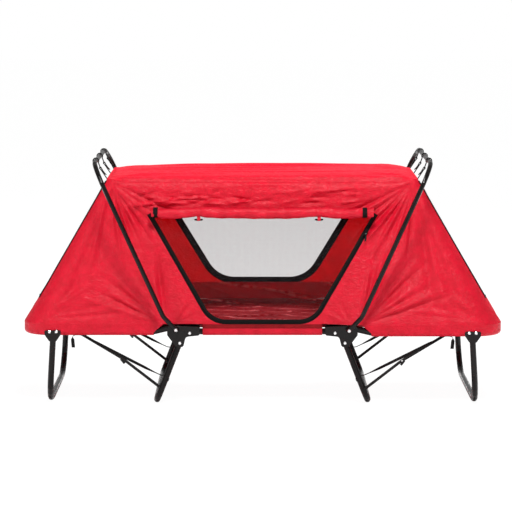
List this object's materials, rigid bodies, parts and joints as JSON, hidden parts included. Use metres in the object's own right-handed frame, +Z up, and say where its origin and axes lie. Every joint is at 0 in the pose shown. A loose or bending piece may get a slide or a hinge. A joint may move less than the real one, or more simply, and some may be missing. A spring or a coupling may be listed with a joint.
{
  "type": "tent cot",
  "caption": "Folding camp bed on black tube legs with a low red tent hung from two hoops, a netting door and a rolled-up door panel.",
  "frame": {"origin": "on the floor under the middle of the bed", "axes": "+X along the bed to the right of the door, +Y away from the door side, +Z up"},
  "size_m": [1.676, 0.7918, 0.8581],
  "materials": {
    "red_cloth": "coated woven nylon, slightly glossy",
    "bed_cloth": "dark red woven polyester",
    "netting": "fine black insect netting",
    "webbing": "black woven webbing",
    "black_tube": "gloss black powder coat on steel tube",
    "black_plates": "gloss black powder coat on pressed steel",
    "rivets": "bright zinc plated steel",
    "zip_metal": "black enamelled zip slider"
  },
  "bodies": {
    "root": {"middle_rail_near": "black_tube", "middle_rail_far": "black_tube", "hub_inner_plate_left_near": "black_plates", "hub_inner_plate_left_far": "black_plates", "hub_inner_plate_right_near": "black_plates", "hub_inner_plate_right_far": "black_plates", "hub_outer_plate_left_near": "black_plates", "hub_outer_plate_left_far": "black_plates", "hub_outer_plate_right_near": "black_plates", "hub_outer_plate_right_far": "black_plates", "hinge_rivet_left_near": "rivets", "hinge_rivet_left_far": "rivets", "hinge_rivet_right_near": "rivets", "hinge_rivet_right_far": "rivets", "bed_middle": "bed_cloth", "tent_middle": "red_cloth", "door_screen": "netting", "window_screen": "netting", "door_roll": "red_cloth"},
    "zip_pull": {"zip_slider": "zip_metal"},
    "left_end": {"left_end_rail": "black_tube", "bed_left": "bed_cloth", "tent_left": "red_cloth", "leg_bracket_left_near": "black_plates", "leg_bracket_left_far": "black_plates", "tension_strap_left_near": "webbing", "tension_strap_left_far": "webbing"},
    "left_end_leg_body": {"left_end_leg": "black_tube"},
    "left_middle_leg_body": {"left_middle_leg": "black_tube"},
    "left_hoop_body": {"left_hoop": "black_tube", "roof_hook_left_near": "black_tube", "roof_hook_left_middle": "black_tube", "roof_hook_left_far": "black_tube", "roof_strap_left_near": "webbing", "roof_strap_left_middle": "webbing", "roof_strap_left_far": "webbing"},
    "left_near_stay_lower": {"stay_lower_left_near": "black_plates"},
    "left_near_stay_upper": {"stay_upper_left_near": "black_plates"},
    "left_far_stay_lower": {"stay_lower_left_far": "black_plates"},
    "left_far_stay_upper": {"stay_upper_left_far": "black_plates"},
    "right_end": {"right_end_rail": "black_tube", "bed_right": "bed_cloth", "tent_right": "red_cloth", "leg_bracket_right_near": "black_plates", "leg_bracket_right_far": "black_plates", "tension_strap_right_near": "webbing", "tension_strap_right_far": "webbing"},
    "right_end_leg_body": {"right_end_leg": "black_tube"},
    "right_middle_leg_body": {"right_middle_leg": "black_tube"},
    "right_hoop_body": {"right_hoop": "black_tube", "roof_hook_right_near": "black_tube", "roof_hook_right_middle": "black_tube", "roof_hook_right_far": "black_tube", "roof_strap_right_near": "webbing", "roof_strap_right_middle": "webbing", "roof_strap_right_far": "webbing"},
    "right_near_stay_lower": {"stay_lower_right_near": "black_plates"},
    "right_near_stay_upper": {"stay_upper_right_near": "black_plates"},
    "right_far_stay_lower": {"stay_lower_right_far": "black_plates"},
    "right_far_stay_upper": {"stay_upper_right_far": "black_plates"}
  },
  "joints": [
    {"name": "left_end_fold", "type": "hinge", "parent": "root", "child": "left_end", "pos_m": [-0.3, 0, 0.271], "axis": [0, 1, 0], "range_deg": [0, 170], "deforming": ["tent_left", "bed_left", "tension_strap_left_near", "tension_strap_left_far"]},
    {"name": "left_end_leg_fold", "type": "hinge", "parent": "left_end", "child": "left_end_leg_body", "pos_m": [-0.731, 0, 0.2335], "axis": [0, -1, 0], "range_deg": [0, 93]},
    {"name": "left_middle_leg_fold", "type": "hinge", "parent": "root", "child": "left_middle_leg_body", "pos_m": [-0.287, 0, 0.223], "axis": [0, -1, 0], "range_deg": [0, 111]},
    {"name": "left_near_stay_foot_pivot", "type": "hinge", "parent": "left_middle_leg_body", "child": "left_near_stay_lower", "pos_m": [-0.3534, -0.2983, 0.0531], "axis": [0, 1, 0], "range_deg": [0, 73.5]},
    {"name": "left_near_stay_knee", "type": "hinge", "parent": "left_near_stay_lower", "child": "left_near_stay_upper", "pos_m": [-0.487, -0.2983, 0.157], "axis": [0, -1, 0], "range_deg": [0, 172.3]},
    {"name": "left_far_stay_foot_pivot", "type": "hinge", "parent": "left_middle_leg_body", "child": "left_far_stay_lower", "pos_m": [-0.3534, 0.2983, 0.0531], "axis": [0, 1, 0], "range_deg": [0, 73.5]},
    {"name": "left_far_stay_knee", "type": "hinge", "parent": "left_far_stay_lower", "child": "left_far_stay_upper", "pos_m": [-0.487, 0.2983, 0.157], "axis": [0, -1, 0], "range_deg": [0, 172.3]},
    {"name": "right_end_fold", "type": "hinge", "parent": "root", "child": "right_end", "pos_m": [0.3, 0, 0.271], "axis": [0, -1, 0], "range_deg": [0, 140], "deforming": ["tent_right", "bed_right", "tension_strap_right_near", "tension_strap_right_far"]},
    {"name": "right_end_leg_fold", "type": "hinge", "parent": "right_end", "child": "right_end_leg_body", "pos_m": [0.731, 0, 0.2335], "axis": [0, 1, 0], "range_deg": [0, 93]},
    {"name": "right_middle_leg_fold", "type": "hinge", "parent": "root", "child": "right_middle_leg_body", "pos_m": [0.287, 0, 0.223], "axis": [0, 1, 0], "range_deg": [0, 111]},
    {"name": "right_near_stay_foot_pivot", "type": "hinge", "parent": "right_middle_leg_body", "child": "right_near_stay_lower", "pos_m": [0.3534, -0.3266, 0.0531], "axis": [0, -1, 0], "range_deg": [0, 73.5]},
    {"name": "right_near_stay_knee", "type": "hinge", "parent": "right_near_stay_lower", "child": "right_near_stay_upper", "pos_m": [0.487, -0.3266, 0.157], "axis": [0, 1, 0], "range_deg": [0, 164.3]},
    {"name": "right_far_stay_foot_pivot", "type": "hinge", "parent": "right_middle_leg_body", "child": "right_far_stay_lower", "pos_m": [0.3534, 0.3266, 0.0531], "axis": [0, -1, 0], "range_deg": [0, 73.5]},
    {"name": "right_far_stay_knee", "type": "hinge", "parent": "right_far_stay_lower", "child": "right_far_stay_upper", "pos_m": [0.487, 0.3266, 0.157], "axis": [0, 1, 0], "range_deg": [0, 164.3]},
    {"name": "left_hoop_fold", "type": "hinge", "parent": "root", "child": "left_hoop_body", "pos_m": [-0.3, 0, 0.271], "axis": [0, 1, 0], "range_deg": [0, 108], "deforming": ["roof_strap_left_near", "roof_strap_left_middle", "roof_strap_left_far", "tent_middle", "door_screen", "window_screen", "door_roll"]},
    {"name": "right_hoop_fold", "type": "hinge", "parent": "root", "child": "right_hoop_body", "pos_m": [0.3, 0, 0.271], "axis": [0, -1, 0], "range_deg": [0, 100], "deforming": ["roof_strap_right_near", "roof_strap_right_middle", "roof_strap_right_far"]},
    {"name": "zip_slide", "type": "slide", "parent": "root", "child": "zip_pull", "axis": [-0.4945, -0.1773, -0.8509], "range_m": [0, 0.2]}
  ],
  "couplings": [
    {"joint": "left_end_leg_fold", "follows": "left_end_fold", "ratio": 0.54706},
    {"joint": "left_middle_leg_fold", "follows": "left_end_fold", "ratio": 0.65294},
    {"joint": "left_near_stay_foot_pivot", "follows": "left_end_fold", "ratio": 0.43235},
    {"joint": "left_near_stay_knee", "follows": "left_end_fold", "ratio": 1.0135},
    {"joint": "left_far_stay_foot_pivot", "follows": "left_end_fold", "ratio": 0.43235},
    {"joint": "left_far_stay_knee", "follows": "left_end_fold", "ratio": 1.0135},
    {"joint": "right_end_leg_fold", "follows": "right_end_fold", "ratio": 0.66429},
    {"joint": "right_middle_leg_fold", "follows": "right_end_fold", "ratio": 0.79286},
    {"joint": "right_near_stay_foot_pivot", "follows": "right_end_fold", "ratio": 0.525},
    {"joint": "right_near_stay_knee", "follows": "right_end_fold", "ratio": 1.1736},
    {"joint": "right_far_stay_foot_pivot", "follows": "right_end_fold", "ratio": 0.525},
    {"joint": "right_far_stay_knee", "follows": "right_end_fold", "ratio": 1.1736},
    {"joint": "right_hoop_fold", "follows": "left_hoop_fold", "ratio": 0.92593}
  ]
}
